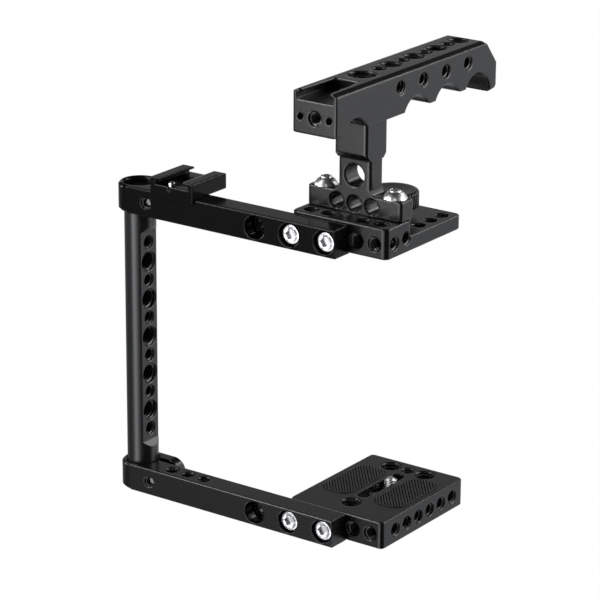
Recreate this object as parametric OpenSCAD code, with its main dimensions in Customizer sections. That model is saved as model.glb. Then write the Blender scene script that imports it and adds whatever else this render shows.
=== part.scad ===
// Half cage for a camera: two arms clamped on a round pillar, a base plate,
// a top plate and a cheese-hole top handle. The frame's origin is the foot of
// the pillar's axis, on the face that the cage stands on. X runs along the
// arms, Y towards the back of the cage and Z up.

/* [Pillar] */
// Diameter of the round pillar
pillar_d = 15; // [14:0.1:16]
// Distance from the pillar's axis to its milled flat
flat_x = 4.7; // [4.2:0.1:5.2]
// Height of the lowest hole in the flat
pillar_first_hole_z = 29.6; // [27:0.1:32]
// Distance between neighbouring holes in the flat
pillar_hole_pitch = 9.3; // [9:0.1:10]
// Number of holes in the flat, small and large in turn
pillar_holes = 11; // [7:2:11]
// Depth of the holes in the flat
pillar_hole_depth = 9.5; // [7:0.1:10.5]
// How far the pillar's top end lies below the upper ring's top
pillar_top_recess = 3.1; // [1:0.1:4.5]
// Chamfer on the pillar's ends
pillar_chamfer = 1; // [0.4:0.1:1.5]

/* [Arms] */
// Height of both arms
arm_h = 13.2; // [12.6:0.1:14]
// Width of both arms
arm_w = 11.8; // [11.2:0.1:12.4]
// Distance from the pillar's axis to the arms' free end
arm_reach = 117.4; // [116:0.1:119]
// Height of the upper arm's underside
upper_arm_z = 138.6; // [136.5:0.1:140.5]
// Outer diameter of the clamp rings
ring_d = 20.1; // [19.7:0.1:20.6]
// Width of the slit between arm and clamp jaw
slit_w = 3.2; // [2:0.1:3.4]
// Distance from the pillar's axis to the clamp screw
clamp_screw_x = 11.3; // [10.9:0.1:12]
// Distance from the pillar's axis to the first of the three arm bolt holes
arm_bolt_first_x = 73.6; // [72.6:0.1:74.6]
// Distance from the pillar's axis to the first tapped hole on the lower arm
arm_top_hole_first_x = 21; // [20.5:0.1:22]
// Depth of the tapped holes on the lower arm
arm_top_hole_depth = 10; // [6:0.5:11]
// Chamfer on the long edges of the arms
arm_chamfer = 0.5; // [0.2:0.1:1]
// Chamfer on the rims of the clamp rings
ring_chamfer = 1; // [0.4:0.1:1.4]

/* [Base plate] */
// Distance from the pillar's axis to the middle of both plates
plate_middle_x = 111.4; // [110.9:0.1:111.9]
// Width of both plates
plate_w = 52; // [51:0.5:53]
// Depth of the base plate
base_depth = 67.8; // [66:0.1:70]
// Corner radius of the base plate
base_corner_r = 2.4; // [1.5:0.1:4]
// Distance from the base plate's front face to the slot
slot_front_inset = 19.65; // [18.75:0.1:20.25]
// Distance from the base plate's back face to the slot
slot_back_inset = 13.95; // [13.55:0.1:15.55]
// Width of the slot
slot_w = 6.8; // [6.6:0.1:7.4]
// Width of the wide part of the slot under the plate
slot_wide_w = 14.4; // [14:0.1:15]
// Depth of the wide part of the slot
slot_wide_depth = 7.6; // [7:0.1:8]
// Distance from the plate's front face to the first tapped hole in its side
side_hole_front_inset = 10.65; // [10.25:0.1:11.65]
// Distance from the plate's back face to the last tapped hole in its side
side_hole_back_inset = 9.65; // [8.65:0.1:10.05]
// Number of tapped holes in the base plate's side
side_holes = 6; // [3:1:6]
// Depth of the tapped holes in the sides
side_hole_depth = 10; // [6:0.5:10]
// Depth of the tapped holes in the block's side, short of the foot screws
block_side_hole_depth = 4.6; // [4:0.1:4.7]
// Depth of the tapped holes in the plates' front faces
front_hole_depth = 7; // [5:0.5:7]
// Distance from the base plate's front face to its front upright hole
base_front_hole_inset = 12.45; // [12.25:0.1:12.85]
// Distance from the base plate's back face to its back row of holes
base_back_hole_inset = 7.95; // [7.35:0.1:8.25]
// Width of one rubber pad
pad_w = 16.4; // [14:0.1:17]
// How far the rubber pads reach past the slot's ends together
pad_extra_l = 1.8; // [0:0.2:2.6]
// Corner radius of the rubber pads
pad_r = 6; // [3:0.5:7]
// Thickness of the rubber pads
pad_t = 1.9; // [1.2:0.1:2.4]
// How far the pads stand above the plate
pad_rise = 0.4; // [0.2:0.1:0.8]
// Distance between the pads' middles
pad_spread = 29; // [28.6:0.1:30]
// How far the pads' middle lies in front of the slot's middle
pad_shift = 0.5; // [0:0.1:1]

/* [Camera screw] */
// How far the camera screw's tip stands above the plate
camera_screw_rise = 1.4; // [0.6:0.1:5]
// Distance from the slot's back end to the camera screw
camera_screw_inset = 8.8; // [7.6:0.1:25]
// Diameter of the camera screw's head
camera_head_d = 12.6; // [12:0.1:13]
// Height of the camera screw's head
camera_head_h = 4.6; // [3.6:0.1:5]
// Thickness of the washer over the head
camera_washer_t = 1.2; // [0.8:0.1:1.6]

/* [Top plate] */
// Height of the top plate's front block
block_h = 14.3; // [13.6:0.1:15]
// Depth of the top plate's front block
block_depth = 22.7; // [22.3:0.1:24]
// Thickness of the thin part behind the block
thin_t = 6.9; // [6:0.1:8]
// Depth of the whole top plate
top_depth = 60.8; // [59:0.1:63]
// Radius of the top plate's corners
top_corner_r = 3; // [2:0.1:4]
// Radius of the block's back corners
block_back_r = 6; // [4:0.5:8]
// Row of upright holes in the block
block_hole_y = 7.8; // [7.4:0.1:8.2]
// Share of the thin part's depth in front of the first of its three holes
thin_hole_first_share = 0.303; // [0.28:0.001:0.33]
// Share of the thin part's depth between two of its three holes
thin_hole_pitch_share = 0.244; // [0.24:0.001:0.26]
// Distance of that row from the plate's right edge
thin_hole_inset = 6.1; // [5.5:0.1:7]

/* [Lock wheel] */
// Share of the thin part's depth in front of the lock wheel's axis
wheel_share = 0.5315; // [0.515:0.0005:0.56]
// Diameter of the lock wheel
wheel_d = 24.2; // [22:0.1:25]
// Height of the lock wheel
wheel_h = 8; // [6:0.1:9]
// Height of the collar under the wheel
collar_h = 3.3; // [2:0.1:4]
// Diameter of the collar under the wheel
collar_d = 14; // [12:0.1:18]
// Side of the square foot that slides into a camera's shoe
shoe_foot_w = 18; // [17:0.1:18.2]
// Thickness of that foot
shoe_foot_t = 1.9; // [1.6:0.1:2]
// Height of the foot's square neck
shoe_neck_h = 3.6; // [3:0.1:4]
// Side of the foot's square neck
shoe_neck_w = 12; // [11:0.1:12.2]
// How far the foot can be drawn up
shoe_foot_travel = 1.5; // [1:0.1:1.6]

/* [Stem] */
// Distance from the pillar's axis plane to the stem's middle
stem_y = 18.6; // [18.4:0.1:18.9]
// Width of the stem's foot
foot_w = 51; // [49:0.5:52]
// Height of the stem's foot
foot_h = 9.5; // [8.5:0.1:10.5]
// Thickness of the foot and of the lower stem
foot_t = 10; // [9.4:0.1:10.4]
// Width of the stem
stem_w = 17.8; // [17:0.1:18.6]
// Thickness of the upper stem
upper_stem_t = 16.4; // [15.6:0.1:17]
// Height above the block at which the stem grows thicker
stem_step_z = 25.4; // [25:0.1:26.5]
// Height of the whole stem
stem_h = 43.7; // [42.4:0.1:45.4]
// Diameter of the big hole through the stem
stem_hole_d = 10.4; // [9:0.1:11]
// Height of that hole's middle above the block
stem_hole_z = 17.8; // [17.4:0.1:18.2]
// Diameter of the three holes through the foot
foot_hole_d = 7.4; // [6.6:0.1:7.6]
// Height of the three foot holes
foot_hole_z = 4.6; // [4.4:0.1:4.8]
// Distance from the stem's middle to the foot screws
foot_screw_x = 18.7; // [18.4:0.1:19]

/* [Handle] */
// Width of the handle
handle_w = 23.4; // [22.6:0.1:24.6]
// Height of the handle above the stem
handle_h = 19.3; // [18.6:0.1:20.6]
// Distance from the stem's middle to the handle's front face
handle_front = 36; // [35:0.1:38]
// Distance from the stem's middle to the handle's back face
handle_back = 93.5; // [92.5:0.1:96]
// How far the handle's nose hangs below the stem's top
nose_drop = 0.5; // [0.2:0.1:1]
// Radius of the nose's lower edges
nose_low_r = 1.6; // [0.8:0.1:2]
// Radius of the nose's upright edges
nose_edge_r = 0.8; // [0.4:0.1:1.4]
// How far the lip behind the last finger groove hangs down
lip_drop = 5.4; // [4.4:0.1:6]
// Radius of the finger grooves
groove_r = 10.6; // [10.2:0.1:11]
// Depth of the finger grooves
groove_depth = 5.5; // [5:0.1:5.8]
// Radius that rounds the ridges between the grooves
ridge_r = 2.6; // [1.6:0.1:3]
// Softening of the grooves' side edges
groove_flare = 0.8; // [0.4:0.1:1.2]
// Distance from the stem's middle to the groove in front of it
front_groove = 21.7; // [21.2:0.1:22.2]
// Distance from the stem's middle to the first groove behind it
back_groove = 27.4; // [27:0.1:28]
// Distance between the grooves behind the stem
groove_pitch = 25.2; // [24.8:0.1:25.6]
// Width of the bevels along the handle's top
bevel_w = 2.4; // [1.5:0.1:3]
// Height of the bevels along the handle's top
bevel_h = 1.3; // [1:0.1:3]
// Length of the slanted cut at the handle's back
tail_cut_l = 9.4; // [8:0.1:9.5]
// Height of the slanted cut at the handle's back
tail_cut_h = 11.4; // [9:0.1:12]
// Distance from the stem's middle to the first small top hole
top_hole_first = 13.7; // [13.4:0.1:13.9]
// Distance between the holes on the handle's top
top_hole_pitch = 9.27; // [9.2:0.01:9.3]
// Distance from the stem's middle to the first side hole
grip_side_first = 13.7; // [13.2:0.1:14.2]
// Distance between the handle's side holes
grip_side_pitch = 18.5; // [18.2:0.1:18.8]
// Height of the handle's side holes above the stem's top
grip_side_z = 12.2; // [11.6:0.1:12.6]
// Height of the holes in the handle's nose
nose_hole_z = 6.9; // [6.4:0.1:7.2]
// Distance from the nose hole to the locating holes beside it
nose_pin_x = 7.6; // [7.2:0.1:8]

/* [Handle shoe slot] */
// Length of the slot in the handle's nose
nose_slot_l = 25; // [22.6:0.1:26]
// Depth of that slot
nose_slot_depth = 4.8; // [4.4:0.1:5]
// Height of its wide lower part
nose_slot_low = 3.4; // [3:0.1:3.6]
// Thickness of the walls beside the wide part
nose_wall_t = 1.9; // [1.6:0.1:2.4]
// Width of its mouth behind the rounded ends of its lips
nose_mouth_front_w = 15.6; // [14:0.1:16]
// Radius that rounds the lips' front ends
nose_lip_r = 1.3; // [0.6:0.1:1.4]
// Width of its mouth at the back
nose_mouth_back_w = 13.4; // [12.4:0.1:14]
// Radius of the mouth's back corners
nose_mouth_back_r = 1.5; // [0.5:0.1:2]

/* [Accessory shoe] */
// Distance from the pillar's axis to the shoe's middle
shoe_x = 27.2; // [27:0.1:28]
// Width of the shoe
shoe_w = 24.4; // [23.6:0.1:25]
// Length of the shoe
shoe_l = 25.8; // [23.6:0.1:26.4]
// Height of the shoe above the arm
shoe_h = 7.5; // [7.2:0.1:8.5]
// Radius of the shoe's upright back edges
shoe_back_r = 0.6; // [0.4:0.1:1.2]
// Radius of the shoe's lower back edge
shoe_low_r = 1.2; // [0.6:0.1:1.6]
// Radius of the rails' top back edges
rail_end_r = 2; // [1:0.1:2.4]
// Thickness of the shoe's floor
shoe_floor = 4.1; // [3.8:0.1:4.4]
// Height of the channel under the lips
shoe_channel_h = 2.1; // [2:0.1:2.3]
// Width of the mouth between the lips
shoe_mouth_w = 12.6; // [12:0.1:13.4]
// How far the shoe's skirt stands in front of the arm
skirt_t = 1; // [0.7:0.1:1.4]
// Diameter of the head of the shoe's screw
shoe_head_d = 6.8; // [6:0.1:7]
// How far the skirt reaches down over the arm
skirt_drop = 2.1; // [1.4:0.1:3]
// How far the stop pin stands beside the shoe's middle
stop_pin_shift = 1.1; // [0:0.1:2]
// Diameter of the stop pin in the channel
stop_pin_d = 3.2; // [2.8:0.1:4]
// Height of the stop pin
stop_pin_h = 2.3; // [1.6:0.1:2.8]

/* [Threads and screws] */
// Diameter of the small camera thread
small_thread_d = 6.35; // [6.2:0.05:6.5]
// Diameter of the large camera thread
large_thread_d = 9.525; // [9.3:0.025:9.6]
// Width of the chamfer at the mouth of a tapped hole
mouth_chamfer = 0.5; // [0.2:0.1:0.6]
// Diameter of the clamp screws
clamp_screw_d = 5; // [4:0.1:5.2]
// Diameter of the clamp screws' heads
clamp_head_d = 8.5; // [7.6:0.1:9]
// Diameter of the arm bolts' heads
arm_bolt_head_d = 9.5; // [9:0.1:9.9]
// Height of the arm bolts' heads
arm_bolt_head_h = 6.3; // [5:0.1:6.4]
// Diameter of the counterbores in the arms
counterbore_d = 11; // [10.6:0.1:11.4]
// How deep the arm bolts' heads sit below the arm's face
head_recess = 1.5; // [0.8:0.1:1.6]
// Diameter of the handle bolt
handle_bolt_d = 8; // [7:0.1:8.2]
// Diameter of the handle bolt's head
handle_bolt_head_d = 12.9; // [12:0.1:13]
// Height of the handle bolt's head
handle_bolt_head_h = 8; // [6:0.1:8.2]
// Diameter of the foot screws' domed heads
dome_d = 11.2; // [9.8:0.1:11.6]
// Height of the foot screws' domed heads
dome_h = 3.9; // [3:0.1:4.2]
// Diameter of the dowels between handle and stem
dowel_d = 3; // [2:0.1:3.2]

/* [Fits] */
// Gap round the pillar in its clamp rings
pillar_gap = 0.04; // [0.02:0.01:0.08]
// Gap round a screw in its tapped hole
thread_gap = 0.05; // [0.02:0.01:0.1]
// Gap round a screw in a plain hole
clearance_gap = 0.25; // [0.15:0.05:0.4]
// Gap round a sliding or turning piece
sliding_gap = 0.1; // [0.05:0.01:0.2]

/* [Hidden] */
$fn = 48;

black = [0.11, 0.11, 0.12];
rubber = [0.07, 0.07, 0.07];
steel = [0.75, 0.75, 0.76];

// How far a cutting shape reaches past the face that it cuts
overcut = pillar_d / 15;
// Spacing that the plates' and the arms' holes share
grid_pitch = 9.5;

arm_front_y = -ring_d / 2;
arm_back_y = arm_front_y + arm_w;
arm_mid_y = (arm_front_y + arm_back_y) / 2;
upper_arm_top = upper_arm_z + arm_h;
hole_z = arm_h / 2;
plate_left = plate_middle_x - plate_w / 2;
plate_right = plate_middle_x + plate_w / 2;
base_back_y = arm_back_y + base_depth;
slot_front_y = arm_back_y + slot_front_inset;
slot_back_y = base_back_y - slot_back_inset;
camera_screw_y = slot_back_y - camera_screw_inset;
pad_l = slot_back_y - slot_front_y + pad_extra_l;
pad_middle_y = (slot_front_y + slot_back_y) / 2 - pad_shift;
side_hole_first_y = arm_back_y + side_hole_front_inset;
side_hole_pitch = (base_depth - side_hole_front_inset - side_hole_back_inset)
    / (side_holes - 1);
block_top = upper_arm_z + block_h;
block_back_y = arm_back_y + block_depth;
thin_top = upper_arm_z + thin_t;
top_back_y = arm_back_y + top_depth;
thin_depth = top_depth - block_depth;
wheel_y = block_back_y + thin_depth * wheel_share;
thin_hole_first_y = block_back_y + thin_depth * thin_hole_first_share;
thin_hole_pitch = thin_depth * thin_hole_pitch_share;
stem_top = block_top + stem_h;
handle_top = stem_top + handle_h;
handle_front_y = stem_y - handle_front;
handle_back_y = stem_y + handle_back;
groove_z = stem_top + groove_depth - groove_r;
pillar_top = upper_arm_top - pillar_top_recess;
// Top of the camera screw's head, under its washer
camera_seat_z = slot_wide_depth - camera_washer_t;
// Share of the jaw's thickness that the clamp screw's head sinks into
head_sink_share = 0.4;
// Share of the block's height that the foot screws' holes go down
foot_screw_hole_share = 0.45;
// Places of the two dowels round the handle bolt and how far they reach
dowel_x = stem_w * 0.34;
dowel_y = upper_stem_t * 0.3;
dowel_reach = handle_h * 0.3;
// The shoe's screw stands a little behind the arm's middle
shoe_screw_y = arm_mid_y + arm_w * 0.16;
// The stop pin stands just inside the shoe's front end
stop_pin_y = arm_front_y - skirt_t + stop_pin_d * 0.54;
stop_pin_x = shoe_x - stop_pin_shift;

// Screws are this much thinner than the threads that they turn in
small_screw_d = small_thread_d - 2 * thread_gap;
clamp_shank_d = clamp_screw_d - 2 * thread_gap;
handle_shank_d = handle_bolt_d - 2 * thread_gap;

// Turn that points a shape drawn along +Z along another axis
function turn(axis) =
    axis == "+x" ? [0, 90, 0] :
    axis == "-x" ? [0, -90, 0] :
    axis == "+y" ? [-90, 0, 0] :
    axis == "-y" ? [90, 0, 0] :
    axis == "-z" ? [180, 0, 0] : [0, 0, 0];

// Plain round hole that starts at a face and runs into the body
module drill(at, axis, d, depth) {
    translate(at) rotate(turn(axis)) translate([0, 0, -overcut])
        cylinder(d = d, h = depth + overcut);
}

// Round hole with a chamfered mouth. A tapped one is as wide as its thread
module tapped(at, axis, d, depth) {
    drill(at, axis, d, depth);
    translate(at) rotate(turn(axis)) translate([0, 0, -overcut])
        cylinder(r1 = d / 2 + mouth_chamfer + overcut, r2 = d / 2,
            h = mouth_chamfer + overcut);
}

// Rectangle with its four corners cut off
module cut_rectangle(w, h, c) {
    polygon([[c, 0], [w - c, 0], [w, c], [w, h - c],
        [w - c, h], [c, h], [0, h - c], [0, c]]);
}

// What rounding an edge takes away: a corner at the origin that points
// along the signs, less the circle that rounds it
module corner_round(sign_x, sign_y, r) {
    difference() {
        translate([sign_x > 0 ? -r : -overcut, sign_y > 0 ? -r : -overcut])
            square(r + overcut);
        translate([-sign_x * r, -sign_y * r]) circle(r = r);
    }
}

// Round post with chamfered rims
module chamfered_post(r, h, c) {
    rotate_extrude()
        polygon([[0, 0], [r - c, 0], [r, c], [r, h - c], [r - c, h], [0, h]]);
}

// Block with round upright corners and chamfered top and bottom rims
module soft_block(size, r, c) {
    translate([r, 0, 0]) rotate([90, 0, 90])
        linear_extrude(size[0] - 2 * r) cut_rectangle(size[1], size[2], c);
    translate([0, size[1] - r, 0]) rotate([90, 0, 0])
        linear_extrude(size[1] - 2 * r) cut_rectangle(size[0], size[2], c);
    for (x = [r, size[0] - r], y = [r, size[1] - r])
        translate([x, y, 0]) chamfered_post(r, size[2], c);
}

// Cap screw drawn along +Z: shank from 0 up, head below with a hex socket
module cap_screw(shank_d, shank_l, head_d, head_h, key) {
    chamfer = head_d / 16;
    tip = shank_d / 8;
    difference() {
        rotate_extrude()
            polygon([[0, -head_h], [head_d / 2 - chamfer, -head_h],
                [head_d / 2, -head_h + chamfer], [head_d / 2, 0],
                [shank_d / 2, 0], [shank_d / 2, shank_l - tip],
                [shank_d / 2 - tip, shank_l], [0, shank_l]]);
        translate([0, 0, -head_h - overcut])
            cylinder(d = key / cos(30), h = head_h * 0.55 + overcut, $fn = 6);
    }
}

// Clamp ring, jaw and arm, standing on z = 0
module arm_blank() {
    jaw_y = arm_back_y + slit_w;
    jaw_t = ring_d / 2 - jaw_y;
    difference() {
        union() {
            chamfered_post(ring_d / 2, arm_h, ring_chamfer);
            translate([0, arm_front_y, 0]) rotate([90, 0, 90])
                linear_extrude(arm_reach)
                    cut_rectangle(arm_w, arm_h, arm_chamfer);
            translate([0, jaw_y, 0])
                cube([clamp_screw_x, jaw_t, arm_h]);
            translate([clamp_screw_x, jaw_y, arm_h / 2]) rotate(turn("+y"))
                cylinder(d = arm_h, h = jaw_t);
        }
        // bore for the pillar, with a wide mouth at the top
        drill([0, 0, 0], "+z", pillar_d + 2 * pillar_gap, arm_h + overcut);
        translate([0, 0, arm_h - ring_chamfer])
            cylinder(r1 = pillar_d / 2 + pillar_gap,
                r2 = pillar_d / 2 + pillar_gap + ring_chamfer + overcut,
                h = ring_chamfer + overcut);
        // slit that lets the jaw close
        translate([0, arm_back_y, -overcut])
            cube([clamp_screw_x + arm_h, slit_w, arm_h + 2 * overcut]);
        // clamp screw: plain in the jaw, sunk at its back, tapped in the arm
        drill([clamp_screw_x, ring_d / 2, arm_h / 2], "-y",
            clamp_screw_d + 2 * clearance_gap, jaw_t + slit_w / 2);
        drill([clamp_screw_x, ring_d / 2, arm_h / 2], "-y",
            clamp_head_d + 2 * clearance_gap, jaw_t * head_sink_share);
        tapped([clamp_screw_x, arm_front_y, arm_h / 2], "+y",
            clamp_screw_d, arm_w + slit_w / 2);
        // three sunk holes for the bolts that hold the plates
        for (i = [0:2]) {
            at = [arm_bolt_first_x + i * 2 * grid_pitch, arm_front_y, hole_z];
            drill(at, "+y", small_thread_d + 2 * clearance_gap,
                arm_w + overcut);
            drill(at, "+y", counterbore_d, arm_bolt_head_h + head_recess);
        }
    }
}

module pillar() {
    flat_low = pillar_first_hole_z - pillar_hole_pitch * 0.6;
    flat_high = pillar_first_hole_z
        + pillar_hole_pitch * (pillar_holes - 1 + 0.6);
    reach = pillar_d / 2 + overcut;
    color(black) difference() {
        chamfered_post(pillar_d / 2, pillar_top, pillar_chamfer);
        // milled flat with slanted ends
        translate([0, reach, 0]) rotate([90, 0, 0])
            linear_extrude(2 * reach)
                polygon([[flat_x, flat_low],
                    [reach, flat_low - (reach - flat_x)],
                    [reach, flat_high + (reach - flat_x)],
                    [flat_x, flat_high]]);
        for (i = [0:pillar_holes - 1])
            tapped([flat_x, 0, pillar_first_hole_z + i * pillar_hole_pitch],
                "-x", i % 2 == 0 ? small_thread_d : large_thread_d,
                pillar_hole_depth);
    }
}

module lower_arm() {
    color(black) difference() {
        arm_blank();
        for (i = [0:2])
            tapped([arm_top_hole_first_x + i * grid_pitch, arm_mid_y, arm_h],
                "-z", small_thread_d, arm_top_hole_depth);
    }
}

module upper_arm() {
    color(black) difference() {
        translate([0, 0, upper_arm_z]) arm_blank();
        // tapped hole for the shoe's screw
        drill([shoe_x, shoe_screw_y, upper_arm_top], "-z",
            clamp_screw_d, arm_h * 0.6);
    }
}

module clamp_screw() {
    jaw_t = ring_d / 2 - arm_back_y - slit_w;
    seat_y = ring_d / 2 - jaw_t * head_sink_share;
    tip_y = arm_front_y + arm_w * 0.2;
    translate([clamp_screw_x, seat_y, arm_h / 2]) rotate(turn("-y"))
        cap_screw(clamp_shank_d, seat_y - tip_y, clamp_head_d,
            clamp_screw_d, clamp_screw_d * 0.8);
}

module lower_clamp_screw() {
    color(steel) clamp_screw();
}

module upper_clamp_screw() {
    color(steel) translate([0, 0, upper_arm_z]) clamp_screw();
}

// The two bolts that hold a plate on its arm
module arm_bolts() {
    seat_y = arm_front_y + arm_bolt_head_h + head_recess;
    for (i = [1:2])
        translate([arm_bolt_first_x + i * 2 * grid_pitch, seat_y, hole_z])
            rotate(turn("+y"))
                cap_screw(small_screw_d,
                    arm_back_y + front_hole_depth * 0.9 - seat_y,
                    arm_bolt_head_d, arm_bolt_head_h, arm_bolt_head_d / 2);
}

module base_plate_bolts() {
    color(steel) arm_bolts();
}

module top_plate_bolts() {
    color(steel) translate([0, 0, upper_arm_z]) arm_bolts();
}

// Tapped holes in a plate's front face, two of them behind the arm bolts
module front_row() {
    for (i = [2:6])
        if (i % 2 == 0 || i > 4)
            tapped([arm_bolt_first_x + i * grid_pitch, arm_back_y, hole_z],
                "+y", small_thread_d, front_hole_depth);
}

// Flat outline with round ends that the camera screw's slot has
module slot_shape(w, y0, y1) {
    translate([plate_middle_x - w / 2, y0]) square([w, y1 - y0]);
    for (y = [y0, y1]) translate([plate_middle_x, y]) circle(d = w);
}

module pad_shape(side, grow) {
    w = pad_w + 2 * grow;
    l = pad_l + 2 * grow;
    r = pad_r + grow;
    translate([plate_middle_x + side * pad_spread / 2, pad_middle_y]) {
        square([w, l - 2 * r], center = true);
        square([w - 2 * r, l], center = true);
        for (x = [-1, 1], y = [-1, 1])
            translate([x * (w / 2 - r), y * (l / 2 - r)]) circle(r = r);
    }
}

module pad(side) {
    translate([0, 0, arm_h - (pad_t - pad_rise)])
        linear_extrude(pad_t) pad_shape(side, 0);
}

module left_pad() {
    color(rubber) pad(-1);
}

module right_pad() {
    color(rubber) pad(1);
}

module base_plate() {
    round_y0 = slot_front_y + slot_w / 2;
    round_y1 = slot_back_y - slot_w / 2;
    color(black) difference() {
        translate([plate_left, arm_back_y, 0])
            soft_block([plate_w, base_depth, arm_h], base_corner_r,
                arm_chamfer);
        // slot for the camera screw, wide below for its head
        translate([0, 0, -overcut]) linear_extrude(arm_h + 2 * overcut)
            slot_shape(slot_w, round_y0, round_y1);
        translate([0, 0, -overcut])
            linear_extrude(slot_wide_depth + overcut)
                slot_shape(slot_wide_w, round_y0, round_y1);
        // shallow beds for the pads
        for (side = [-1, 1])
            translate([0, 0, arm_h - (pad_t - pad_rise)])
                linear_extrude(pad_t + overcut) pad_shape(side, pillar_gap);
        front_row();
        for (i = [0:side_holes - 1])
            tapped([plate_right, side_hole_first_y + i * side_hole_pitch,
                hole_z],
                "-x", small_thread_d, side_hole_depth);
        // upright holes: one large in front, large, small, large at the back
        tapped([plate_middle_x, arm_back_y + base_front_hole_inset, arm_h],
            "-z", large_thread_d, arm_h + overcut);
        for (i = [-1:1])
            tapped([plate_middle_x + i * grid_pitch,
                base_back_y - base_back_hole_inset, arm_h], "-z",
                i == 0 ? small_thread_d : large_thread_d, arm_h + overcut);
    }
}

module camera_screw() {
    color(steel) translate([plate_middle_x, camera_screw_y, camera_seat_z])
        cap_screw(small_screw_d, arm_h + camera_screw_rise - camera_seat_z,
            camera_head_d, camera_head_h, camera_head_d * 0.4);
}

module camera_screw_washer() {
    color(steel) translate([plate_middle_x, camera_screw_y, camera_seat_z])
        difference() {
            cylinder(d = camera_head_d, h = camera_washer_t);
            translate([0, 0, -overcut])
                cylinder(d = small_screw_d + 2 * sliding_gap,
                    h = camera_washer_t + 2 * overcut);
        }
}

module top_plate() {
    color(black) difference() {
        union() {
            translate([plate_left, arm_back_y, upper_arm_z])
                soft_block([plate_w, top_depth, thin_t], top_corner_r,
                    arm_chamfer);
            // thick block in front, its back corners rounder than its front
            translate([plate_left, arm_back_y, upper_arm_z])
                soft_block([plate_w, block_depth - block_back_r, block_h],
                    top_corner_r, arm_chamfer);
            translate([plate_left, arm_back_y + block_depth / 3, upper_arm_z])
                soft_block([plate_w, block_depth * 2 / 3, block_h],
                    block_back_r, arm_chamfer);
        }
        translate([0, 0, upper_arm_z]) front_row();
        for (i = [-2, -1, 1, 2])
            tapped([plate_middle_x + i * grid_pitch, block_hole_y, block_top],
                "-z", small_thread_d, block_h * 0.3);
        for (i = [0, 1])
            tapped([plate_right, block_hole_y + i * grid_pitch,
                upper_arm_z + hole_z], "-x", small_thread_d,
                block_side_hole_depth);
        for (i = [0:2])
            tapped([plate_right - thin_hole_inset,
                thin_hole_first_y + i * thin_hole_pitch, thin_top], "-z",
                small_thread_d, thin_t + overcut);
        // screws of the handle's foot
        for (side = [-1, 1])
            drill([plate_middle_x + side * foot_screw_x, stem_y, block_top],
                "-z", clamp_screw_d, block_h * foot_screw_hole_share);
        // stud and square neck of the shoe foot
        drill([plate_middle_x, wheel_y, thin_top], "-z",
            small_thread_d + 2 * clearance_gap, thin_t + overcut);
        translate([plate_middle_x - shoe_neck_w / 2 - sliding_gap,
            wheel_y - shoe_neck_w / 2 - sliding_gap, upper_arm_z - overcut])
            cube([shoe_neck_w + 2 * sliding_gap,
                shoe_neck_w + 2 * sliding_gap,
                shoe_neck_h + shoe_foot_travel + overcut]);
    }
}

module lock_wheel_collar() {
    color(black) translate([plate_middle_x, wheel_y, thin_top])
        difference() {
            cylinder(d = collar_d, h = collar_h);
            translate([0, 0, -overcut])
                cylinder(d = small_screw_d + 2 * sliding_gap,
                    h = collar_h + 2 * overcut);
        }
}

module lock_wheel() {
    rim_c = wheel_h / 8;
    stud_low = upper_arm_z - shoe_foot_travel + thread_gap;
    wheel_z = thin_top + collar_h;
    color(black) translate([plate_middle_x, wheel_y, 0])
        rotate_extrude()
            polygon([[0, stud_low], [small_screw_d / 2, stud_low],
                [small_screw_d / 2, wheel_z],
                [wheel_d / 2 - rim_c, wheel_z],
                [wheel_d / 2, wheel_z + rim_c],
                [wheel_d / 2, wheel_z + wheel_h - rim_c],
                [wheel_d / 2 - rim_c, wheel_z + wheel_h],
                [0, wheel_z + wheel_h]]);
}

// Square nut whose foot slides into a camera's shoe, drawn fully open
module shoe_foot() {
    neck_top = upper_arm_z + shoe_neck_h - sliding_gap;
    gap_h = 2 * shoe_foot_t;
    foot_z = upper_arm_z - gap_h - shoe_foot_t;
    color(steel) difference() {
        union() {
            translate([plate_middle_x - shoe_neck_w / 2,
                wheel_y - shoe_neck_w / 2, foot_z])
                cube([shoe_neck_w, shoe_neck_w, neck_top - foot_z]);
            translate([plate_middle_x - shoe_foot_w / 2,
                wheel_y - shoe_foot_w / 2, foot_z])
                cube([shoe_foot_w, shoe_foot_w, shoe_foot_t]);
        }
        drill([plate_middle_x, wheel_y, neck_top], "-z", small_thread_d,
            neck_top - foot_z - shoe_foot_t);
    }
}

// Rounded inner corners between the foot and the lower stem, from the front
module stem_fillets() {
    fillet = foot_h / 4;
    low = foot_h * 0.8;
    difference() {
        translate([-stem_w / 2 - fillet, low])
            square([stem_w + 2 * fillet, foot_h - low + fillet]);
        for (side = [-1, 1])
            translate([side * (stem_w / 2 + fillet), foot_h + fillet])
                circle(r = fillet);
    }
}

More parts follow.
